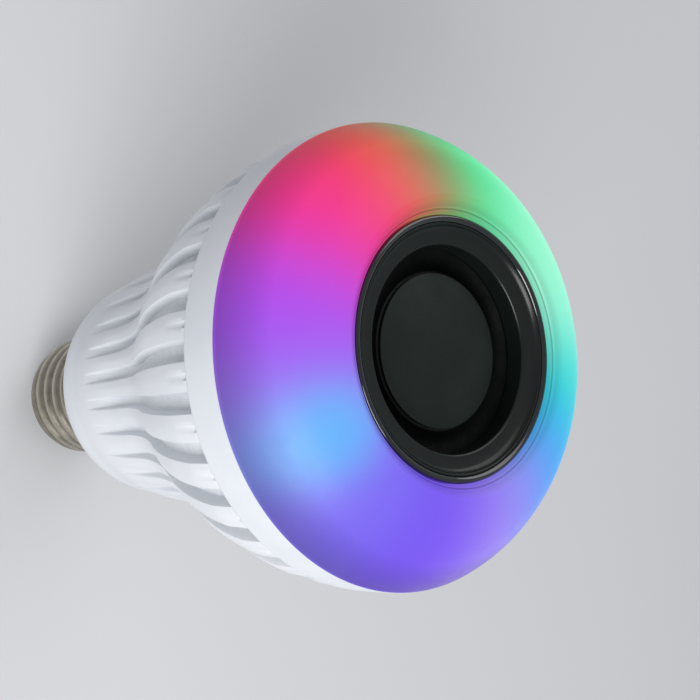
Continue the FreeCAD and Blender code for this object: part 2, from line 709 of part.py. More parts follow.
def make_driver():
    """The mains board standing in the neck, and what is soldered to it."""
    foot_z = NECK_END_Z + 12
    face_y = DRIVER_THICKNESS / 2
    front, back = 1, -1
    sub_part(block("driver_board_block", (0, 0), foot_z, DRIVER_WIDTH, DRIVER_THICKNESS, 39), "driver_board")
    for label, x, side, rise, width, depth, height in (
        ("transformer", 0, front, 13, 16, 13, 14),
        ("bridge_rectifier", -1, back, 5, 6, 2.4, 6),
        ("control_chip", 3, back, 17, 5, 1.6, 6),
        ("switching_transistor", -7, back, 17, 6.6, 2.3, 9),
    ):
        centre_y = side * (face_y + depth / 2)
        sub_part(block(label + "_block", (x, centre_y), foot_z + rise, width, depth, height), label)
    for label, x, side, rise, radius, height in (
        ("bulk_capacitor", 6.5, front, -3, 5, 15),
        ("filter_inductor", -7, front, 0, 4, 10),
        ("output_capacitor", -6, front, 29, 4, 12),
        ("fuse_resistor", 11, back, 4, 1.6, 8),
    ):
        centre_y = side * (face_y + radius)
        sub_part(rod(label + "_can", (x, centre_y), foot_z + rise, radius, height), label)


def make_audio_board():
    """The round board behind the speaker with the radio, the amplifier and the two sockets."""
    plate("audio_board", AUDIO_BOARD_Z, BOARD_THICKNESS, [(0, 0, AUDIO_SCREW_RING + 4.2)] + [
        (*around(AUDIO_SCREW_RING, angle), 1.2) for angle in AUDIO_SCREW_ANGLES
    ])
    screws("audio_board_screws", AUDIO_SCREW_RING, AUDIO_SCREW_ANGLES, AUDIO_TOP_Z, (1.9, 1.3), (SCREW_SHANK, 8))
    sub_part(block("wireless_module_board", (-10, 0), AUDIO_TOP_Z, 13, 17, 0.8), "wireless_module")
    sub_part(block("module_shield_can", (-10, -2), AUDIO_TOP_Z + 0.8, 10, 10, 1.6), "module_shield")
    sub_part(block("amplifier_block", (8, 5), AUDIO_TOP_Z, 6, 8, 1.6), "amplifier_chip")
    cans = [rod(f"audio_can_{number}", (8 + number * 6, -5), AUDIO_TOP_Z, 2.5, 5) for number in range(2)]
    sub_part(joined("audio_cans", cans), "audio_capacitors")
    sub_part(block("speaker_socket_block", (0, SPEAKER_LEAD_RING), AUDIO_TOP_Z, 7, 5, 3.6), "speaker_socket")
    sub_part(block("light_socket_block", (0, -AUDIO_SOCKET_RING), AUDIO_TOP_Z, 8, 5, 3.6), "light_socket")


AUDIO_SOCKET_RING = 20


def make_leads():
    """Mains, supply, light and speaker leads, and the tinsel leads of the coil."""
    lead_y = -(DRIVER_THICKNESS / 2 + LEAD_RADIUS.value + 0.05)
    board_foot = NECK_END_Z + 14
    socket_top = AUDIO_TOP_Z + 3.6
    stem_top = INSULATOR_TOP + 1
    leads("centre_lead", [[
        (0, 0, stem_top), (0, 0, NECK_END_Z - 8), (-6, lead_y, NECK_END_Z + 4), (-6, lead_y, board_foot),
    ]])
    shell_x = SHELL_BORE - LEAD_RADIUS - 0.05
    leads("shell_lead", [[
        (shell_x, 0, NECK_END_Z - 21), (7.5, 0, NECK_END_Z - 15), (7.5, lead_y, NECK_END_Z + 4),
        (6, lead_y, board_foot),
    ]])
    supply_z = NECK_END_Z + 45
    leads("supply_leads", [
        [(side * 2, lead_y, supply_z), (side * 2, lead_y, supply_z + 6), (side * 5, lead_y - 4, AUDIO_BOARD_Z - 0.4)]
        for side in (-1, 1)
    ])
    leads("speaker_leads", [
        [(side, SPEAKER_LEAD_RING, socket_top), (side, SPEAKER_LEAD_RING, ENCLOSURE_Z + 3),
         (side, ENCLOSURE_RADIUS - 2.2, ENCLOSURE_Z + 11), (side, ENCLOSURE_RADIUS - 2.2, FRAME_Z - 3)]
        for side in (-2, 2)
    ])
    leads("light_leads", [
        [(x, -AUDIO_SOCKET_RING, socket_top), (x, -AUDIO_SOCKET_RING, socket_top + 1.6),
         (x, -LED_CABLE_RING, socket_top + 8), (x, -LED_CABLE_RING, LED_TOP_Z)]
        for x in (-1.8, -0.6, 0.6, 1.8)
    ])
    cone_z = CONE_EDGE_Z - 4
    leads("tinsel_leads", [
        [(side, OPENING_RADIUS + 0.9, FRAME_Z - 4), (side, OPENING_RADIUS - 3.4, FRAME_Z - 5.6),
         (side, COIL_RADIUS + 2.1, cone_z - 0.4)]
        for side in (-3, 3)
    ], Size(0.3, "0.3"))


def make_led_board_screws():
    """The screws that hold the light board and the heat spreader down on the housing's posts."""
    screws("led_board_screws", SCREW_RING, LED_SCREW_ANGLES, LED_TOP_Z, (2.4, 1.6), (SCREW_SHANK, 10))


# ---------------------------------------------------------------- build and write

def check_and_write():
    """Stops at a failed object or a bad solid, then writes each sub-part's file."""
    doc.recompute()
    for item in doc.Objects:
        if "Invalid" in item.State or "Error" in item.State:
            raise RuntimeError(f"{item.Name} failed: {item.State}")
    os.makedirs("parts", exist_ok=True)
    for item in sub_parts:
        shape = item.Shape
        if shape.isNull() or not shape.isValid() or not shape.Solids:
            raise RuntimeError(f"{item.Label} has no valid solid")
        shape.exportStep(f"parts/{item.Label}.step")
        box = shape.BoundBox
        print(f"{item.Label}: {len(shape.Solids)} solids, {shape.Volume:.1f} mm3, z {box.ZMin:.2f} to {box.ZMax:.2f}")


make_centre_contact()
make_base_insulator()
make_screw_shell()
make_fluted_housing()
make_heat_spreader()
make_led_board()
make_leds()
make_led_socket()
make_diffuser()
make_led_board_screws()
make_bezel()
make_enclosure()
make_basket()
make_motor()
make_moving_parts()
make_soft_parts()
make_terminal_strip()
make_driver()
make_audio_board()
make_leads()
check_and_write()
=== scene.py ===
"""A colour-changing LED bulb with a loudspeaker in its face, dressed around its CAD frame.

The bulb stands on its centre contact with +Z along its axis. Outlines are written in millimetres as
(radius, height) and turned about that axis, and the meshes made from them are in metres.
"""

import json
import math

import bpy
import numpy as np
from mathutils import Matrix, Vector


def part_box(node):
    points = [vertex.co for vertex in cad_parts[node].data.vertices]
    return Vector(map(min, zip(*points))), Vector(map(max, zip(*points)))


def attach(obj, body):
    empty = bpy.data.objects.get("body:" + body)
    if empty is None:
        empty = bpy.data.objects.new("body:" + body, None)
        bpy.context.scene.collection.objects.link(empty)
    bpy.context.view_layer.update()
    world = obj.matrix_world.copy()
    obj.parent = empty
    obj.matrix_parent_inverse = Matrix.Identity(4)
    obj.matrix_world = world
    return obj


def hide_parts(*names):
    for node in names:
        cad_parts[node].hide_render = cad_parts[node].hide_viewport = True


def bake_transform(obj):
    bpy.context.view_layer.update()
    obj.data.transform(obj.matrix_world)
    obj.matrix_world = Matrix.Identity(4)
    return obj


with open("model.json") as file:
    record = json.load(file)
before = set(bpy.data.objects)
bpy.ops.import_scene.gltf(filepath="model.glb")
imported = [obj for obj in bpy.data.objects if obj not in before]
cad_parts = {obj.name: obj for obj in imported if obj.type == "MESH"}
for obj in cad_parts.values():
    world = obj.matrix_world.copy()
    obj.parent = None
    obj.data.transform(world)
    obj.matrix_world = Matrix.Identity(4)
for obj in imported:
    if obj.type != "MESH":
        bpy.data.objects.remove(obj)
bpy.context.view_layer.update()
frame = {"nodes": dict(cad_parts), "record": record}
MM = 0.001


# ---------------------------------------------------------------- sizes read from the frame, in mm

def extent(node):
    """Lowest z, highest z and largest radius of a CAD node, in millimetres."""
    low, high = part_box(node)
    return low.z / MM, high.z / MM, max(high.x, high.y) / MM


SPIGOT_Z, SEAM_Z, SEAM_R = extent("fluted_housing")
SHELL_FOOT_Z, NECK_END_Z, COLLAR_R = extent("screw_shell")
SKIRT_FOOT_Z, CREST_Z, DIFFUSER_R = extent("diffuser")
BEZEL_FOOT_Z, TRIM_TOP_Z, BEZEL_R = extent("bezel_trim")
FRONT_RING_TOP_Z = extent("speaker_front_ring")[1]
CAP_FOOT_Z, CAP_TOP_Z, CAP_R = extent("dust_cap")
ROLL_Z = extent("surround")[1]
CONTACT_EDGE_Z, INSULATOR_RIM_Z, SHELL_BORE_R = extent("base_insulator")
CONTACT_TOP_Z, CONTACT_R = extent("centre_contact")[1:]

OPENING_R = BEZEL_R - 4.9           # the speaker's opening
FRONT_STEP_R = BEZEL_R - 1.3        # where the glossy trim meets the front ring
RIM_Z = SEAM_Z - 7.9                # the back edge of the housing's plain rim
RIB_R = SEAM_R - 0.4                # the ribs where they meet the rim
NECK_R = SEAM_R - 14.5              # the neck at its top, under the bell
FLUTE_DEPTH = 2.3
FLUTES = 30
FLUTE_PERIOD = 360 / FLUTES         # in degrees, as is the next
FLUTE_HALF_ANGLE = 2.3
PITCH = 3.629                       # of the mains thread
ROOT_R = COLLAR_R - 1.0
CREST_R = COLLAR_R - 0.1
FINE = 288                          # points round a turned mesh
MEDIUM = 144


# ---------------------------------------------------------------- outlines and turned meshes

def arc_points(start, end, radius, side, step):
    """Points after start along the short arc to end; side 1 turns left on the way, -1 turns right."""
    start, end = np.array(start, float), np.array(end, float)
    chord = end - start
    length = math.hypot(*chord)
    left = np.array([-chord[1], chord[0]]) / length
    rise = math.sqrt(max(radius**2 - (length / 2)**2, 0))
    centre = (start + end) / 2 + left * rise * side
    first = math.atan2(*(start - centre)[::-1])
    sweep = side * 2 * math.asin(min(length / 2 / radius, 1))
    count = max(2, math.ceil(abs(sweep) * radius / step))
    angles = first + sweep * np.arange(1, count + 1) / count
    return [tuple(centre + radius * np.array([math.cos(a), math.sin(a)])) for a in angles]


def outline(steps, step=0.6):
    """The points of an outline: (r, z) goes straight there and (r, z, radius, side) goes by an arc."""
    points = [tuple(steps[0][:2])]
    for item in steps[1:]:
        if len(item) == 2:
            points.append(tuple(item))
        else:
            points.extend(arc_points(points[-1], item[:2], item[2], item[3], step))
    return points


def rounded(points, radius, sharp=25):
    """The closed outline with each corner sharper than some degrees eased by a small curve."""
    eased = []
    count = len(points)
    for number, point in enumerate(points):
        here = np.array(point, float)
        before, after = np.array(points[number - 1], float), np.array(points[(number + 1) % count], float)
        into, out = here - before, after - here
        lengths = math.hypot(*into), math.hypot(*out)
        on_axis = here[0] < 1e-6
        turn = 0
        if min(lengths) > 1e-6:
            cosine = np.dot(into, out) / (lengths[0] * lengths[1])
            turn = math.degrees(math.acos(max(-1, min(1, cosine))))
        if on_axis or turn < sharp:
            eased.append(tuple(here))
            continue
        reach = min(radius, 0.4 * lengths[0], 0.4 * lengths[1])
        first, last = here - into / lengths[0] * reach, here + out / lengths[1] * reach
        for share in (0, 0.25, 0.5, 0.75, 1):
            eased.append(tuple((1 - share)**2 * first + 2 * share * (1 - share) * here + share**2 * last))
    return eased


def dome_radius(edge_radius, rise):
    """The radius of a dome that rises so far over its edge, with its centre on the axis."""
    return (edge_radius**2 + rise**2) / (2 * rise)


def turned(name, points, angles=FINE, shape=None, marks=None):
    """A mesh object made by turning a closed outline about the axis.

    angles is a count or a list in degrees; shape(radius, height, angles) gives the radii round one ring, and
    marks(radius, height, angles) gives the values of the mesh attribute "mark" there.
    """
    turns = np.arange(angles) * 360 / angles if isinstance(angles, int) else np.array(angles)
    cosines, sines = np.cos(np.radians(turns)), np.sin(np.radians(turns))
    vertices, values, rings = [], [], []
    for radius, height in points:
        if radius < 1e-6:
            rings.append([len(vertices)])
            vertices.append((0, 0, height * MM))
            values.append(0.0)
            continue
        radii = shape(radius, height, turns) if shape else np.full(len(turns), radius)
        marked = marks(radius, height, turns) if marks else np.zeros(len(turns))
        rings.append(list(range(len(vertices), len(vertices) + len(turns))))
        vertices.extend(zip(radii * cosines * MM, radii * sines * MM, [height * MM] * len(turns)))
        values.extend(marked)
    faces = []
    for lower, upper in zip(rings, rings[1:] + rings[:1]):
        if len(lower) == len(upper) == 1:
            continue
        for number in range(len(turns)):
            following = (number + 1) % len(turns)
            if len(lower) == 1:
                faces.append((lower[0], upper[following], upper[number]))
            elif len(upper) == 1:
                faces.append((lower[number], lower[following], upper[0]))
            else:
                faces.append((lower[number], lower[following], upper[following], upper[number]))
    mesh = bpy.data.meshes.new(name)
    mesh.from_pydata(vertices, [], faces)
    attribute = mesh.attributes.new("mark", "FLOAT", "POINT")
    attribute.data.foreach_set("value", np.array(values, np.float32))
    mesh.polygons.foreach_set("use_smooth", [True] * len(mesh.polygons))
    mesh.set_sharp_from_angle(angle=math.radians(50))
    mesh.validate()
    piece = bpy.data.objects.new(name, mesh)
    bpy.context.scene.collection.objects.link(piece)
    return piece


def smooth_step(value, low, high):
    """0 below low, 1 above high, and a smooth ramp between."""
    share = np.clip((np.asarray(value, float) - low) / (high - low), 0, 1)
    return share * share * (3 - 2 * share)


def dress(piece, material, node, body="root"):
    """Gives a piece its material and slot, and puts it in place of a CAD node."""
    piece.data.materials.append(material)
    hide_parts(node)
    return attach(piece, body)


# ---------------------------------------------------------------- materials

class Shader:
    """A material under construction, with short calls for the nodes it needs."""

    def __init__(self, name, **settings):
        self.material = bpy.data.materials.new(name)
        self.material.use_nodes = True
        self.tree = self.material.node_tree
        self.surface = self.tree.nodes["Principled BSDF"]
        self.place = self.add("ShaderNodeTexCoord").outputs["Object"]
        for socket, value in settings.items():
            self.surface.inputs[socket.replace("_", " ")].default_value = value

    def add(self, kind, inputs=(), **settings):
        """A node; inputs is [(socket, value or output)], settings are its properties."""
        node = self.tree.nodes.new(kind)
        for name, value in settings.items():
            setattr(node, name, value)
        for socket, value in inputs:
            if isinstance(value, bpy.types.NodeSocket):
                self.tree.links.new(value, node.inputs[socket])
            else:
                node.inputs[socket].default_value = value
        return node

    def maths(self, operation, *values, clamp=False):
        """A Math node's result."""
        node = self.add("ShaderNodeMath", list(enumerate(values)), operation=operation, use_clamp=clamp)
        return node.outputs[0]

    def vector(self, operation, *values, output=0):
        """A Vector Math node's result."""
        node = self.add("ShaderNodeVectorMath", list(enumerate(values)), operation=operation)
        return node.outputs[output]

    def scaled(self, vector, factor):
        """A colour or vector multiplied by a number."""
        node = self.add("ShaderNodeVectorMath", [(0, vector), ("Scale", factor)], operation="SCALE")
        return node.outputs[0]

    def noise(self, scale, detail=3.0, stretch=(1, 1, 1), roughness=0.5):
        """Noise from 0 to 1 over the piece, with its scale per metre."""
        place = self.vector("MULTIPLY", self.place, stretch)
        inputs = [("Vector", place), ("Scale", scale), ("Detail", detail), ("Roughness", roughness)]
        return self.add("ShaderNodeTexNoise", inputs).outputs["Fac"]

    def spread(self, value, low, high, start=0.3, end=0.7):
        """The value, moved from start..end to low..high."""
        inputs = [("Value", value), ("From Min", start), ("From Max", end), ("To Min", low), ("To Max", high)]
        return self.add("ShaderNodeMapRange", inputs).outputs[0]

    def blend(self, factor, first, second):
        """A colour mix."""
        node = self.add("ShaderNodeMix", data_type="RGBA")
        for socket, value in (("Factor_Float", factor), ("A_Color", first), ("B_Color", second)):
            target = next(item for item in node.inputs if item.identifier == socket)
            if isinstance(value, bpy.types.NodeSocket):
                self.tree.links.new(value, target)
            else:
                target.default_value = value if isinstance(value, float) else (*value[:3], 1)
        return next(item for item in node.outputs if item.identifier == "Result_Color")

    def mark(self):
        """The mesh's own mark, from 0 to 1."""
        return self.add("ShaderNodeAttribute", attribute_name="mark").outputs["Fac"]

    def feed(self, socket, value):
        """Links a result to the surface."""
        self.tree.links.new(value, self.surface.inputs[socket])

    def from_axis(self):
        """The distance from the bulb's axis, in metres."""
        return self.vector("LENGTH", self.vector("MULTIPLY", self.place, (1, 1, 0)), output="Value")

    def bump(self, height, distance):
        """Raises the surface by a height map, distance in metres."""
        node = self.add("ShaderNodeBump", [("Height", height), ("Distance", distance)])
        self.feed("Normal", node.outputs[0])


def linear(colour):
    """A display colour written as rrggbb, as linear light."""
    levels = [int(colour[start:start + 2], 16) / 255 for start in (0, 2, 4)]
    return tuple(level / 12.92 if level <= 0.04045 else ((level + 0.055) / 1.055)**2.4 for level in levels)


def plastic(name, colour, rough, grain=0.00001, grain_scale=5200, coat=0.0, variation=0.12, specular=0.5):
    """Moulded plastic: a fine spark-eroded grain, slight uneven gloss and slight uneven colour."""
    shader = Shader(name, Coat_Weight=coat, Coat_Roughness=0.06, Specular_IOR_Level=specular)
    cloud = shader.noise(90, 4)
    darker = tuple(channel * (1 - variation) for channel in colour)
    shader.feed("Base Color", shader.blend(shader.spread(cloud, 0, 1), darker, colour))
    patches = shader.noise(260, 5)
    shader.feed("Roughness", shader.spread(patches, rough * 0.86, rough * 1.14))
    shader.bump(shader.noise(grain_scale, 2), grain)
    return shader.material


def housing_plastic():
    """White plastic with a fine satin grain; the flutes are painted greyer, partly as dust and partly as
    painted shade.
    """
    shader = Shader("housing_white", Specular_IOR_Level=0.45, Coat_Roughness=0.2)
    # dust is the grey the flutes' floors take, standing for both dust and painted shade
    clean, shade, dust = linear("dfe2e6"), linear("d3d7dd"), linear("a9adb3")
    base = shader.blend(shader.spread(shader.noise(60, 4), 0, 1), shade, clean)
    specks = shader.spread(shader.noise(700, 6, roughness=0.7), 0.3, 1, 0.35, 0.65)
    # dust specks with painted shade: the flutes' floors turn greyer with their depth and towards the rim
    dust_and_shade = shader.maths("MULTIPLY", shader.maths("MULTIPLY", shader.mark(), specks), 0.55)
    shader.feed("Base Color", shader.blend(dust_and_shade, base, dust))
    satin = shader.spread(shader.noise(240, 5), 0.34, 0.46)
    shader.feed("Roughness", shader.maths("ADD", satin, shader.maths("MULTIPLY", dust_and_shade, 0.3)))
    grain = shader.noise(4200, 3)
    flow = shader.noise(70, 2, stretch=(1, 1, 0.35))
    height = shader.maths("ADD", grain, shader.maths("MULTIPLY", flow, 2.5))
    shader.bump(height, 0.000012)
    return shader.material


# The colour lamps under the diffuser as they shine now: angle in degrees, colour, reach in mm and strength.
# Twelve stand 30 degrees apart. One more shows as a small bright spot, and a black one paints a shadow into
# the glow where green and red meet.
LAMPS = [((number + 0.5) * 30, colour, 8.0, 1.0) for number, colour in enumerate((
    "a890fb", "4ca8fb", "20e0da", "a4fedc", "98fdd0", "2ce48e",
    "f2524a", "fe4290", "b058fa", "9a84fb", "8474fb", "7e58fa",
))]
LAMPS.append((291, "4ccefd", 4.2, 2.2))
# a painted shadow: a black entry that dims the glow between the green and the red lamps
LAMPS.append((180, "000000", 4.8, 0.7))
LAMP_RING = 30.5                    # the radius that the lamps stand on, in mm
STUDIO_SHARE = 0.03                 # what the studio light adds to the face, so it is left out of the glow


def opal_plastic():
    """Frosted plastic over the ring of lamps: each lamp's colour spreads and runs into its neighbours'."""
    shader = Shader("diffuser_opal", Specular_IOR_Level=0.25, Emission_Strength=1.0)
    total, glow = None, None
    for degrees, colour, reach, strength in LAMPS:
        angle = math.radians(degrees)
        lamp = (LAMP_RING * MM * math.cos(angle), LAMP_RING * MM * math.sin(angle), 0)
        away = shader.vector("MULTIPLY", shader.vector("SUBTRACT", shader.place, lamp), (1, 1, 0))
        squared = shader.vector("DOT_PRODUCT", away, away, output="Value")
        falling = shader.maths("EXPONENT", shader.maths("MULTIPLY", squared, -0.5 / (reach * MM)**2))
        weight = shader.maths("MULTIPLY", falling, strength)
        shine = tuple(max(channel - STUDIO_SHARE, 0) for channel in linear(colour))
        tinted = shader.scaled(shine, weight)
        total = weight if total is None else shader.maths("ADD", total, weight)
        glow = tinted if glow is None else shader.vector("ADD", glow, tinted)
    mixed = shader.scaled(glow, shader.maths("DIVIDE", 1.0, shader.maths("ADD", total, 0.12)))
    radius = shader.from_axis()
    outer_fall = shader.spread(radius, 1.0, 0.55, (SEAM_R - 5) * MM, SEAM_R * MM)
    inner_fall = shader.spread(radius, 0.6, 1.0, (BEZEL_R + 0.4) * MM, (BEZEL_R + 2.4) * MM)
    edges = shader.maths("ADD", 1.05, shader.maths("MULTIPLY", shader.mark(), 0.6))
    level = shader.maths("MULTIPLY", shader.maths("MULTIPLY", outer_fall, inner_fall), edges)
    shader.feed("Emission Color", shader.scaled(mixed, level))
    cloud = shader.spread(shader.noise(110, 3), 0, 1)
    shader.feed("Base Color", shader.blend(cloud, linear("1c1c20"), linear("232327")))
    shader.feed("Roughness", shader.spread(shader.noise(420, 5), 0.36, 0.44))
    shader.bump(shader.noise(3000, 2), 0.000006)
    return shader.material


def gloss_black():
    """Polished black plastic with hair-fine scratches round it and a little dust."""
    shader = Shader("bezel_gloss", Coat_Weight=1.0, Coat_Roughness=0.03)
    dust = shader.spread(shader.noise(2600, 6, roughness=0.75), 0, 1, 0.66, 0.74)
    shader.feed("Base Color", shader.blend(dust, linear("0c0f0f"), linear("3a3d3d")))
    scratches = shader.noise(900, 3, stretch=(0.25, 0.25, 6))
    shader.feed("Roughness", shader.spread(scratches, 0.09, 0.2))
    shader.bump(scratches, 0.000004)
    return shader.material


def satin_black():
    """The front ring's satin plastic, finely grained."""
    return plastic("bezel_satin", linear("131916"), 0.27, grain_scale=3600, variation=0.2, specular=0.38)


def disc_grey():
    """The dust cap: dark pressed film with a soft sheen and faint rings from its forming."""
    shader = Shader("cap_grey", Specular_IOR_Level=0.24, Sheen_Weight=0.04, Sheen_Roughness=0.4)
    cloud = shader.spread(shader.noise(120, 4), 0, 1)
    face = shader.blend(cloud, linear("141b18"), linear("1c2421"))
    # painted shade: the rolled edge and underside are made near-black so the cap's side wall does not show
    # lit
    shader.feed("Base Color", shader.blend(shader.mark(), face, linear("020303")))
    shader.feed("Roughness", shader.spread(shader.noise(500, 5), 0.44, 0.56))
    radius = shader.from_axis()
    rings = shader.maths("SINE", shader.maths("MULTIPLY", radius, 2 * math.pi / (0.45 * MM)))
    fibres = shader.noise(3500, 3)
    shader.bump(shader.maths("ADD", fibres, shader.maths("MULTIPLY", rings, 0.12)), 0.000012)
    return shader.material


def rubber_black():
    """Soft matt rubber with a faint bloom."""
    shader = Shader("rubber_black", Specular_IOR_Level=0.12)
    bloom = shader.spread(shader.noise(350, 5), 0, 1)
    shader.feed("Base Color", shader.blend(bloom, linear("050606"), linear("0b0c0d")))
    shader.feed("Roughness", shader.spread(shader.noise(800, 4), 0.62, 0.8))
    shader.bump(shader.noise(5000, 2), 0.00001)
    return shader.material


def metal(name, colour, rough, stretch=(1, 1, 14), scale=900, tarnish=None):
    """Rolled or turned metal: fine lines, uneven gloss, and tarnish where the mesh is marked."""
    shader = Shader(name, Metallic=1.0)
    lines = shader.noise(scale, 4, stretch=stretch)
    worn = tuple(channel * 0.82 for channel in colour)
    base = shader.blend(shader.spread(lines, 0, 1), worn, colour)
    stains = shader.spread(shader.noise(420, 6, roughness=0.65), 0, 1, 0.42, 0.7)
    if tarnish:
        depth = shader.maths("MULTIPLY", shader.mark(), 0.75)
        stained = shader.maths("ADD", depth, shader.maths("MULTIPLY", stains, 0.22), clamp=True)
        base = shader.blend(stained, base, tarnish)
    shader.feed("Base Color", base)
    shader.feed("Roughness", shader.spread(shader.noise(300, 5), rough * 0.8, rough * 1.25))
    shader.bump(lines, 0.000006)
    return shader.material


def fibreglass(name, colour, track):
    """A lacquered circuit board: woven glass under the lacquer, with the copper tracks showing faintly."""
    shader = Shader(name, Coat_Weight=0.3, Coat_Roughness=0.15, Roughness=0.35)
    cells = [("Vector", shader.place), ("Scale", 420.0)]
    tracks = shader.add("ShaderNodeTexVoronoi", cells, distance="CHEBYCHEV", feature="F1").outputs["Distance"]
    pattern = shader.spread(tracks, 0, 1, 0.42, 0.46)
    shader.feed("Base Color", shader.blend(pattern, colour, track))
    shader.bump(shader.noise(1800, 2), 0.00001)
    return shader.material


def woven(name, colour):
    """Varnished cloth."""
    shader = Shader(name, Roughness=0.7, Sheen_Weight=0.3)
    threads = [("Vector", shader.place), ("Scale", 500.0)]
    across = shader.add("ShaderNodeTexWave", threads, bands_direction="X")
    along = shader.add("ShaderNodeTexWave", threads, bands_direction="Y")
    weave = shader.maths("MULTIPLY", across.outputs["Fac"], along.outputs["Fac"])
    shader.feed("Base Color", shader.blend(weave, tuple(channel * 0.6 for channel in colour), colour))
    shader.bump(weave, 0.00005)
    return shader.material


def make_materials():
    """Every slot of the record with its material."""
    nickel = linear("c9c4b6")
    steel = linear("c4c6ca")
    made = {
        "shell_metal": metal("shell_metal", nickel, 0.3, tarnish=linear("6b6354")),
        "contact_brass": metal("contact_brass", linear("cdb98a"), 0.32, tarnish=linear("6b5a38")),
        "insulator_black": plastic("insulator_black", linear("17181a"), 0.22, coat=0.2),
        "housing_white": housing_plastic(),
        "diffuser_opal": opal_plastic(),
        "bezel_gloss": gloss_black(),
        "bezel_satin": satin_black(),
        "cap_grey": disc_grey(),
        "rubber_black": rubber_black(),
        "spider_cloth": woven("spider_cloth", linear("c08a35")),
        "plated_steel": metal("plated_steel", steel, 0.32, scale=1400, stretch=(1, 1, 1)),
        "ferrite": plastic("ferrite", linear("2a2b2e"), 0.6, grain=0.00003, grain_scale=2500),
        "copper": metal("copper", linear("c9703a"), 0.28, stretch=(1, 1, 30), scale=1200),
        "spreader_aluminium": metal("spreader_aluminium", linear("d5d7da"), 0.36, (14, 1, 1), 500),
        "board_white": fibreglass("board_white", linear("ecece6"), linear("dcdcd4")),
        "board_green": fibreglass("board_green", linear("13502a"), linear("2a7a45")),
    }
    for slot, colour, rough, coat in (
        ("cone_black", "1c1d1e", 0.8, 0.0),
        ("foam_black", "1a1a1b", 0.85, 0.0),
        ("basket_steel", "17181a", 0.4, 0.2),
        ("former_film", "c4762a", 0.3, 0.3),
        ("enclosure_black", "1b1c1d", 0.45, 0.0),
        ("phenolic_brown", "6e4a26", 0.5, 0.1),
        ("lamp_white", "f0ecd8", 0.35, 0.3),
        ("socket_cream", "e2dcc6", 0.45, 0.0),
        ("chip_black", "1a1b1c", 0.5, 0.0),
        ("capacitor_sleeve", "1c2644", 0.25, 0.3),
        ("transformer_tape", "d8b23a", 0.35, 0.2),
        ("inductor_wrap", "1c1c1d", 0.4, 0.1),
        ("resistor_coat", "5a8a66", 0.5, 0.0),
        ("lead_red", "a51f1c", 0.38, 0.1),
        ("lead_black", "18181a", 0.38, 0.1),
        ("lead_white", "deded8", 0.38, 0.1),
    ):
        made[slot] = plastic(slot, linear(colour), rough, coat=coat)
    return made


materials = make_materials()


# ---------------------------------------------------------------- housing

def housing_outside():
    """The housing's outer half outline, from the neck's end to the rim's back edge."""
    return outline([
        (14.5, NECK_END_Z), (NECK_R - 2.7, NECK_END_Z + 14, 16, 1), (NECK_R, SEAM_Z - 53, 150, 1),
        (NECK_R + 4.9, SEAM_Z - 38, 42, -1), (RIB_R - 0.3, SEAM_Z - 14, 78, 1), (RIB_R, RIM_Z - 1.2),
    ], step=0.9)


def flute_floor():
    """The half outline under the flutes."""
    return outline([
        (NECK_R - 1.8, NECK_END_Z + 17.5), (NECK_R - 1.2, SEAM_Z - 52.6, 150, 1),
        (NECK_R + 3.4, SEAM_Z - 37, 44, -1), (RIB_R - FLUTE_DEPTH, SEAM_Z - 13.6, 76, 1),
        (RIB_R - FLUTE_DEPTH, RIM_Z),
    ])


FLOOR_R, FLOOR_Z = np.array(flute_floor()).T


def flute_angles():
    """The angles of the housing's mesh: close together at the flutes' edges and round each rib's notch."""
    shares = (0, 0.6, 0.78, 0.88, 0.96, 1.04, 1.14, 1.32, 1.7)
    offsets = [share * FLUTE_HALF_ANGLE for share in shares]
    offsets += [FLUTE_PERIOD / 2 - 0.9, FLUTE_PERIOD / 2 - 0.55]
    one = sorted(set([-item for item in offsets] + offsets + [FLUTE_PERIOD / 2]))
    return np.array([number * FLUTE_PERIOD + offset for number in range(FLUTES) for offset in one])


def into_flute(turns):
    """1 in the middle of a flute and 0 on a rib, with eased edges."""
    offset = np.abs((turns + FLUTE_PERIOD / 2) % FLUTE_PERIOD - FLUTE_PERIOD / 2)
    return 1 - smooth_step(offset, 0.72 * FLUTE_HALF_ANGLE, 1.16 * FLUTE_HALF_ANGLE)


def at_rib_centre(turns):
    """1 in a narrow line down the middle of each rib."""
    return 1 - smooth_step(np.abs(turns % FLUTE_PERIOD - FLUTE_PERIOD / 2), 0.5, 0.85)


def flute_depth(radius, height):
    """How far a flute's floor lies under the outside at this height."""
    if not FLOOR_Z[0] < height < RIM_Z - 0.05:
        return 0.0
    return max(radius - float(np.interp(height, FLOOR_Z, FLOOR_R)), 0.0)


def housing_radii(radius, height, turns):
    """The fluted outside: flutes, slightly crowned ribs and the small notch at the rim end of each rib."""
    depth = flute_depth(radius, height)
    if depth == 0:
        return np.full(len(turns), radius)
    flute = into_flute(turns)
    rise = 0.18 * min(depth, 1)
    crown = rise * np.cos(np.radians((turns - FLUTE_PERIOD / 2) * FLUTES)) * (1 - flute)
    notch = 0.45 * at_rib_centre(turns) * smooth_step(height, RIM_Z - 1.3, RIM_Z - 1.05)
    return radius - depth * flute + crown - rise - notch


def flute_dust_and_shade(radius, height, turns):
    """Dust and painted shade on the flutes' floors, darker where a flute is deeper and most of all against
    the rim.
    """
    depth = min(flute_depth(radius, height) / FLUTE_DEPTH, 1)
    near_rim = 0.55 + 0.45 * smooth_step(height, RIM_Z - 12, RIM_Z)
    return into_flute(turns) * depth * near_rim


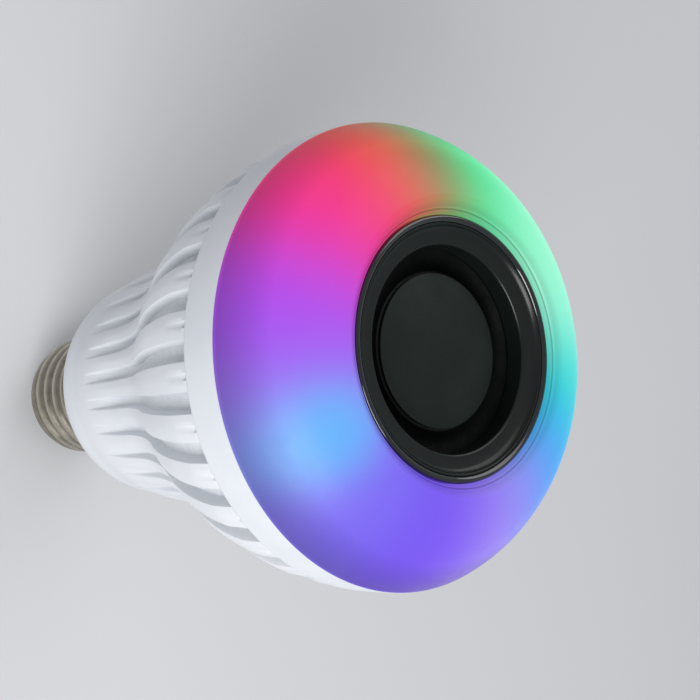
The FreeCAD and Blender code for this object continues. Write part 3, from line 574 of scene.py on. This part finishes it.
def make_housing():
    """The white fluted housing, closed by its inner wall."""
    rim_r = SEAM_R - 0.02
    rim = [
        (RIB_R, RIM_Z - 0.95), (RIB_R, RIM_Z - 0.1), (rim_r - 0.25, RIM_Z), (rim_r - 0.05, RIM_Z + 0.25),
        (rim_r, RIM_Z + 0.7), (rim_r, SEAM_Z - 0.5), (rim_r - 0.12, SEAM_Z - 0.12), (rim_r - 0.5, SEAM_Z),
    ]
    seat = SEAM_R - 2.1
    bell = RIB_R - FLUTE_DEPTH - 1.5
    neck_floor = NECK_END_Z + 4.5
    spigot_bore = SHELL_BORE_R - 2
    inside = outline([
        (seat, SEAM_Z), (seat, RIM_Z + 0.4), (bell, RIM_Z + 0.4), (bell, SEAM_Z - 13),
        (NECK_R + 1.7, SEAM_Z - 36.6, 74, -1), (NECK_R - 2.9, SEAM_Z - 52.2, 46, 1),
        (NECK_R - 4.4, NECK_END_Z + 13.5, 150, -1), (12.5, neck_floor, 13, -1), (spigot_bore, neck_floor),
        (spigot_bore, SPIGOT_Z), (SHELL_BORE_R, SPIGOT_Z), (SHELL_BORE_R, NECK_END_Z),
    ], step=2)
    points = housing_outside() + rim + inside
    piece = turned("housing_shell", points, flute_angles(), shape=housing_radii, marks=flute_dust_and_shade)
    dress(piece, materials["housing_white"], "fluted_housing")


# ---------------------------------------------------------------- screw base

def thread_height(height, turns):
    """0 in the thread's root and 1 on its crest; the right-hand thread fades out at both ends."""
    phase = (height - SHELL_FOOT_Z - 2) / PITCH - turns / 360
    wave = 0.5 + 0.5 * np.cos(2 * math.pi * phase)
    fade = smooth_step(height, SHELL_FOOT_Z + 0.6, SHELL_FOOT_Z + 3)
    return wave * fade * (1 - smooth_step(height, NECK_END_Z - 9.4, NECK_END_Z - 7.4))


def make_screw_shell():
    """The rolled shell: thread, plain collar, turned-in foot, and the punch marks that hold the neck."""
    collar_z = NECK_END_Z - 7.2
    thread = [(ROOT_R, height) for height in np.arange(SHELL_FOOT_Z + 0.7, collar_z - 0.9, 0.2)]
    bore = SHELL_BORE_R
    foot = outline([
        (bore, SHELL_FOOT_Z), (bore + 0.1, SHELL_FOOT_Z), (ROOT_R, SHELL_FOOT_Z + 0.5, 0.6, 1),
    ])
    collar = outline([
        (ROOT_R, collar_z - 0.8), (COLLAR_R - 0.2, collar_z - 0.15), (COLLAR_R, collar_z + 0.1, 0.4, 1),
    ], step=0.1)
    top = [(COLLAR_R, height) for height in np.arange(collar_z + 0.35, NECK_END_Z - 0.4, 0.25)]
    end = [(COLLAR_R, NECK_END_Z - 0.3), (COLLAR_R - 0.25, NECK_END_Z), (bore, NECK_END_Z)]
    punches, punch_z, punch_size, punch_depth = 12, NECK_END_Z - 2.2, 0.45, 0.35

    def radii(radius, height, turns):
        if radius <= bore + 0.2:
            return np.full(len(turns), radius)
        crest = (CREST_R - ROOT_R) * thread_height(height, turns) if radius <= ROOT_R else 0
        across = np.radians((turns % (360 / punches)) - 180 / punches) * COLLAR_R
        spot = np.exp(-(across**2 + (height - punch_z)**2) / (2 * punch_size**2))
        return radius + crest - punch_depth * spot * (radius > COLLAR_R - 0.3)

    def marks(radius, height, turns):
        if radius > ROOT_R + 0.2:
            return np.full(len(turns), 0.25)
        return 1 - 0.85 * thread_height(height, turns)

    piece = turned("screw_shell_rolled", foot + thread + collar + top + end, shape=radii, marks=marks)
    dress(piece, materials["shell_metal"], "screw_shell")


def make_foot():
    """The insulator's cone with its ring-shaped step, and the centre contact with its solder dome."""
    bore = SHELL_BORE_R
    stem = 1.5
    seat = 5.6
    step = 8.3
    cone = outline([
        (stem, CONTACT_EDGE_Z), (seat, CONTACT_EDGE_Z), (seat + 1.0, 2.8), (step, 3.93), (step + 0.2, 4.3),
        (bore - 0.4, SHELL_FOOT_Z - 0.6), (bore, SHELL_FOOT_Z), (bore, INSULATOR_RIM_Z),
        (bore - 1.4, INSULATOR_RIM_Z), (bore - 3.6, CONTACT_TOP_Z - 1), (stem, CONTACT_TOP_Z - 1),
    ])
    piece = turned("base_insulator_moulded", rounded(cone, 0.3), MEDIUM)
    dress(piece, materials["insulator_black"], "base_insulator")
    button = outline([
        (0, 0), (3.4, 0.05), (CONTACT_R, 1.0, 1.5, 1), (CONTACT_R, CONTACT_EDGE_Z), (stem, CONTACT_EDGE_Z),
        (stem, CONTACT_TOP_Z), (0, CONTACT_TOP_Z),
    ], step=0.25)

    def marks(radius, height, turns):
        return np.full(len(turns), 0.8 if height > 0.6 else 0.25)

    contact = turned("centre_contact_pressed", rounded(button, 0.2), MEDIUM, marks=marks)
    dress(contact, materials["contact_brass"], "centre_contact")


# ---------------------------------------------------------------- light

def make_diffuser():
    """The opal ring: a crowned face, a fine recessed line where it meets the bezel, and its two skirts."""
    skirt = SEAM_R - 2.2
    skirt_inside = skirt - 1.2
    inner = BEZEL_R + 0.3
    inner_inside = inner + 0.9
    crest = SEAM_R - 15
    line_z = CREST_Z - 1.0
    steps = outline([
        (DIFFUSER_R, SEAM_Z), (DIFFUSER_R - 0.05, SEAM_Z + 0.25), (SEAM_R - 7, CREST_Z - 4.1, 25, 1),
        (crest, CREST_Z, 20, 1), (inner + 0.65, line_z, 2.8, 1), (inner + 0.6, line_z - 0.15),
        (inner + 0.35, line_z - 0.25), (inner + 0.3, line_z - 0.15), (inner, line_z - 0.55, 0.45, 1),
        (inner, SKIRT_FOOT_Z + 0.6), (inner_inside, SKIRT_FOOT_Z + 0.6), (inner_inside, CREST_Z - 3),
        (crest, CREST_Z - 1.6, 2, -1), (SEAM_R - 8.2, CREST_Z - 5.4, 18.5, -1),
        (skirt_inside, SEAM_Z + 2.6, 23.5, -1), (skirt_inside, SEAM_Z - 5), (skirt, SEAM_Z - 5),
        (skirt, SEAM_Z),
    ], step=0.5)

    def marks(radius, height, turns):
        """Brighter at the seam and at the two edges of the recessed line, and darker in the line."""
        at_seam = radius > DIFFUSER_R - 0.1
        in_line = inner + 0.32 < radius < inner + 0.62 and line_z - 0.4 < height < line_z - 0.1
        at_edge = height > line_z - 0.6 and radius < inner + 0.7
        return np.full(len(turns), -0.4 if in_line else 0.5 if at_seam or at_edge else 0.0)

    piece = turned("diffuser_ring", rounded(steps, 0.08, sharp=35), marks=marks)
    dress(piece, materials["diffuser_opal"], "diffuser")


# ---------------------------------------------------------------- speaker

def make_bezel():
    """The glossy trim and the dished front ring inside it."""
    inner = FRONT_STEP_R + 0.08
    top = TRIM_TOP_Z - 0.6
    trim = outline([
        (inner, BEZEL_FOOT_Z), (BEZEL_R, BEZEL_FOOT_Z), (BEZEL_R, top), (BEZEL_R - 0.6, TRIM_TOP_Z, 0.6, 1),
        (inner, top + 0.2, 0.9, 1),
    ], step=0.12)
    piece = turned("bezel_trim_moulded", rounded(trim, 0.1))
    dress(piece, materials["bezel_gloss"], "bezel_trim")
    step, lip = FRONT_STEP_R, FRONT_RING_TOP_Z
    ring = outline([
        (OPENING_R, BEZEL_FOOT_Z), (step, BEZEL_FOOT_Z), (step, lip), (step - 0.35, lip - 0.1),
        (step - 1.3, lip - 1.0, 1.5, -1), (OPENING_R + 0.5, lip - 1.2), (OPENING_R, lip - 1.7, 0.5, 1),
    ], step=0.12)
    front = turned("speaker_front_ring_moulded", rounded(ring, 0.1))
    dress(front, materials["bezel_satin"], "speaker_front_ring")


def make_surround():
    """The sunken rubber roll, in two halves that meet at its lowest ring.
    """
    inner_edge = CAP_R + 0.4
    edge, meeting = ROLL_Z, (OPENING_R + inner_edge) / 2
    upper, lower = edge - 1.38, edge - 1.76
    halves = {
        "surround_outer": (edge, 2 * upper - edge, [
            (meeting, lower), (OPENING_R + 0.15, edge - 0.5, 2.25, 1), (OPENING_R + 1.1, edge - 0.4),
            (OPENING_R + 1.1, edge), (OPENING_R, edge), (meeting, upper, 2.0, -1),
        ]),
        "surround_inner": (2 * upper - edge, edge, [
            (meeting, upper), (inner_edge, edge, 2.0, -1), (inner_edge - 0.2, edge),
            (inner_edge - 0.2, edge - 0.4), (inner_edge - 0.1, edge - 0.5), (meeting, lower, 2.25, 1),
        ]),
    }
    for name, (root_end, moving_end, steps) in halves.items():
        piece = turned(name, outline(steps, step=0.15))
        piece.data.materials.append(materials["rubber_black"])
        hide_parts("surround")
        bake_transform(piece)


def make_dust_cap():
    """The shallow dome with a rolled edge."""
    rise, skin = 1.3, 0.5
    shoulder = CAP_TOP_Z - rise
    inside = CAP_R - 0.6
    inside_rise = rise - 0.1
    steps = outline([
        (inside, CAP_FOOT_Z), (CAP_R, CAP_FOOT_Z), (CAP_R, shoulder),
        (0, CAP_TOP_Z, dome_radius(CAP_R, rise), 1), (0, CAP_TOP_Z - skin),
        (inside, CAP_TOP_Z - skin - inside_rise, dome_radius(inside, inside_rise), -1),
    ], step=0.5)

    def marks(radius, height, turns):
        """The rolled edge and the underside, painted near-black as shade."""
        return np.full(len(turns), 1.0 if height < shoulder - 0.1 else 0.0)

    piece = turned("dust_cap_formed", rounded(steps, 0.35), marks=marks)
    dress(piece, materials["cap_grey"], "dust_cap", "diaphragm")


def make_tinsel_leads():
    """The coil's thin leads, between the terminal strip and the cone."""
    node = frame["nodes"]["tinsel_leads"]
    piece = bpy.data.objects.new("tinsel_leads_bending", node.data.copy())
    piece.matrix_world = node.matrix_world
    bpy.context.scene.collection.objects.link(piece)
    piece.data.materials.clear()
    piece.data.materials.append(materials["copper"])
    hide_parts("tinsel_leads")
    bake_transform(piece)


make_housing()
make_screw_shell()
make_foot()
make_diffuser()
make_bezel()
make_surround()
make_dust_cap()
make_tinsel_leads()


# ---------------------------------------------------------------- pieces carried over from the CAD

for subpart in frame["record"]["subparts"]:
    node = frame["nodes"][subpart["node"]]
    if not node.hide_render:
        node.data.materials.clear()
        node.data.materials.append(materials[subpart["material_slot"]])


# ---------------------------------------------------------------- floor, lights and camera

def make_floor():
    """A wide pale floor under the bulb."""
    mesh = bpy.data.meshes.new("floor")
    half = 3.0
    corners = [(-half, -half, 0), (half, -half, 0), (half, half, 0), (-half, half, 0)]
    mesh.from_pydata(corners, [], [(0, 1, 2, 3)])
    floor = bpy.data.objects.new("floor", mesh)
    bpy.context.scene.collection.objects.link(floor)
    shader = Shader("floor_paper", Roughness=0.85, Specular_IOR_Level=0.2)
    shade = shader.spread(shader.noise(3, 2), 0, 1)
    shader.feed("Base Color", shader.blend(shade, linear("e4e4e6"), linear("e9e9eb")))
    mesh.materials.append(shader.material)


def softbox(name, place, size, watts):
    """A square studio light, size metres wide, pointing at the middle of the bulb."""
    data = bpy.data.lights.new(name, "AREA")
    data.shape = "SQUARE"
    data.size = size
    data.energy = watts
    light = bpy.data.objects.new(name, data)
    bpy.context.scene.collection.objects.link(light)
    light.location = place
    middle = Vector((0, 0, 0.09))
    light.rotation_euler = (middle - light.location).to_track_quat("-Z", "Y").to_euler()


def make_world(level):
    """Even, faintly cool light from all round."""
    world = bpy.data.worlds.new("studio")
    world.use_nodes = True
    background = world.node_tree.nodes["Background"]
    background.inputs["Color"].default_value = (0.93, 0.96, 1, 1)
    background.inputs["Strength"].default_value = level
    bpy.context.scene.world = world


def make_camera():
    """The camera looks down on the face from one side, turned on its axis so that the base points left."""
    azimuth, elevation, roll = math.radians(-87.9), math.radians(48.9), math.radians(82.2)
    distance, aside, below = 0.2288, 0.0021, 0.0093
    flat = math.cos(elevation)
    back = Vector((flat * math.cos(azimuth), flat * math.sin(azimuth), math.sin(elevation)))
    level = Vector((0, 0, 1)).cross(back).normalized()
    upwards = back.cross(level)
    aim = Vector((0, 0, SEAM_Z * MM)) - aside * level - below * upwards
    right = level * math.cos(roll) + upwards * math.sin(roll)
    data = bpy.data.cameras.new("camera")
    data.lens = 69.2
    data.sensor_width = 36
    data.clip_start = 0.01
    camera = bpy.data.objects.new("camera", data)
    bpy.context.scene.collection.objects.link(camera)
    facing = Matrix((right, back.cross(right), back)).transposed().to_4x4()
    camera.matrix_world = Matrix.Translation(aim + back * distance) @ facing
    bpy.context.scene.camera = camera


make_floor()
make_world(0.37)
softbox("key", place=(0.4, -0.42, 0.42), size=0.4, watts=3.6)
softbox("fill", place=(-0.45, 0.35, 0.5), size=0.5, watts=1.1)
make_camera()

scene = bpy.context.scene
scene.view_settings.view_transform = "Standard"
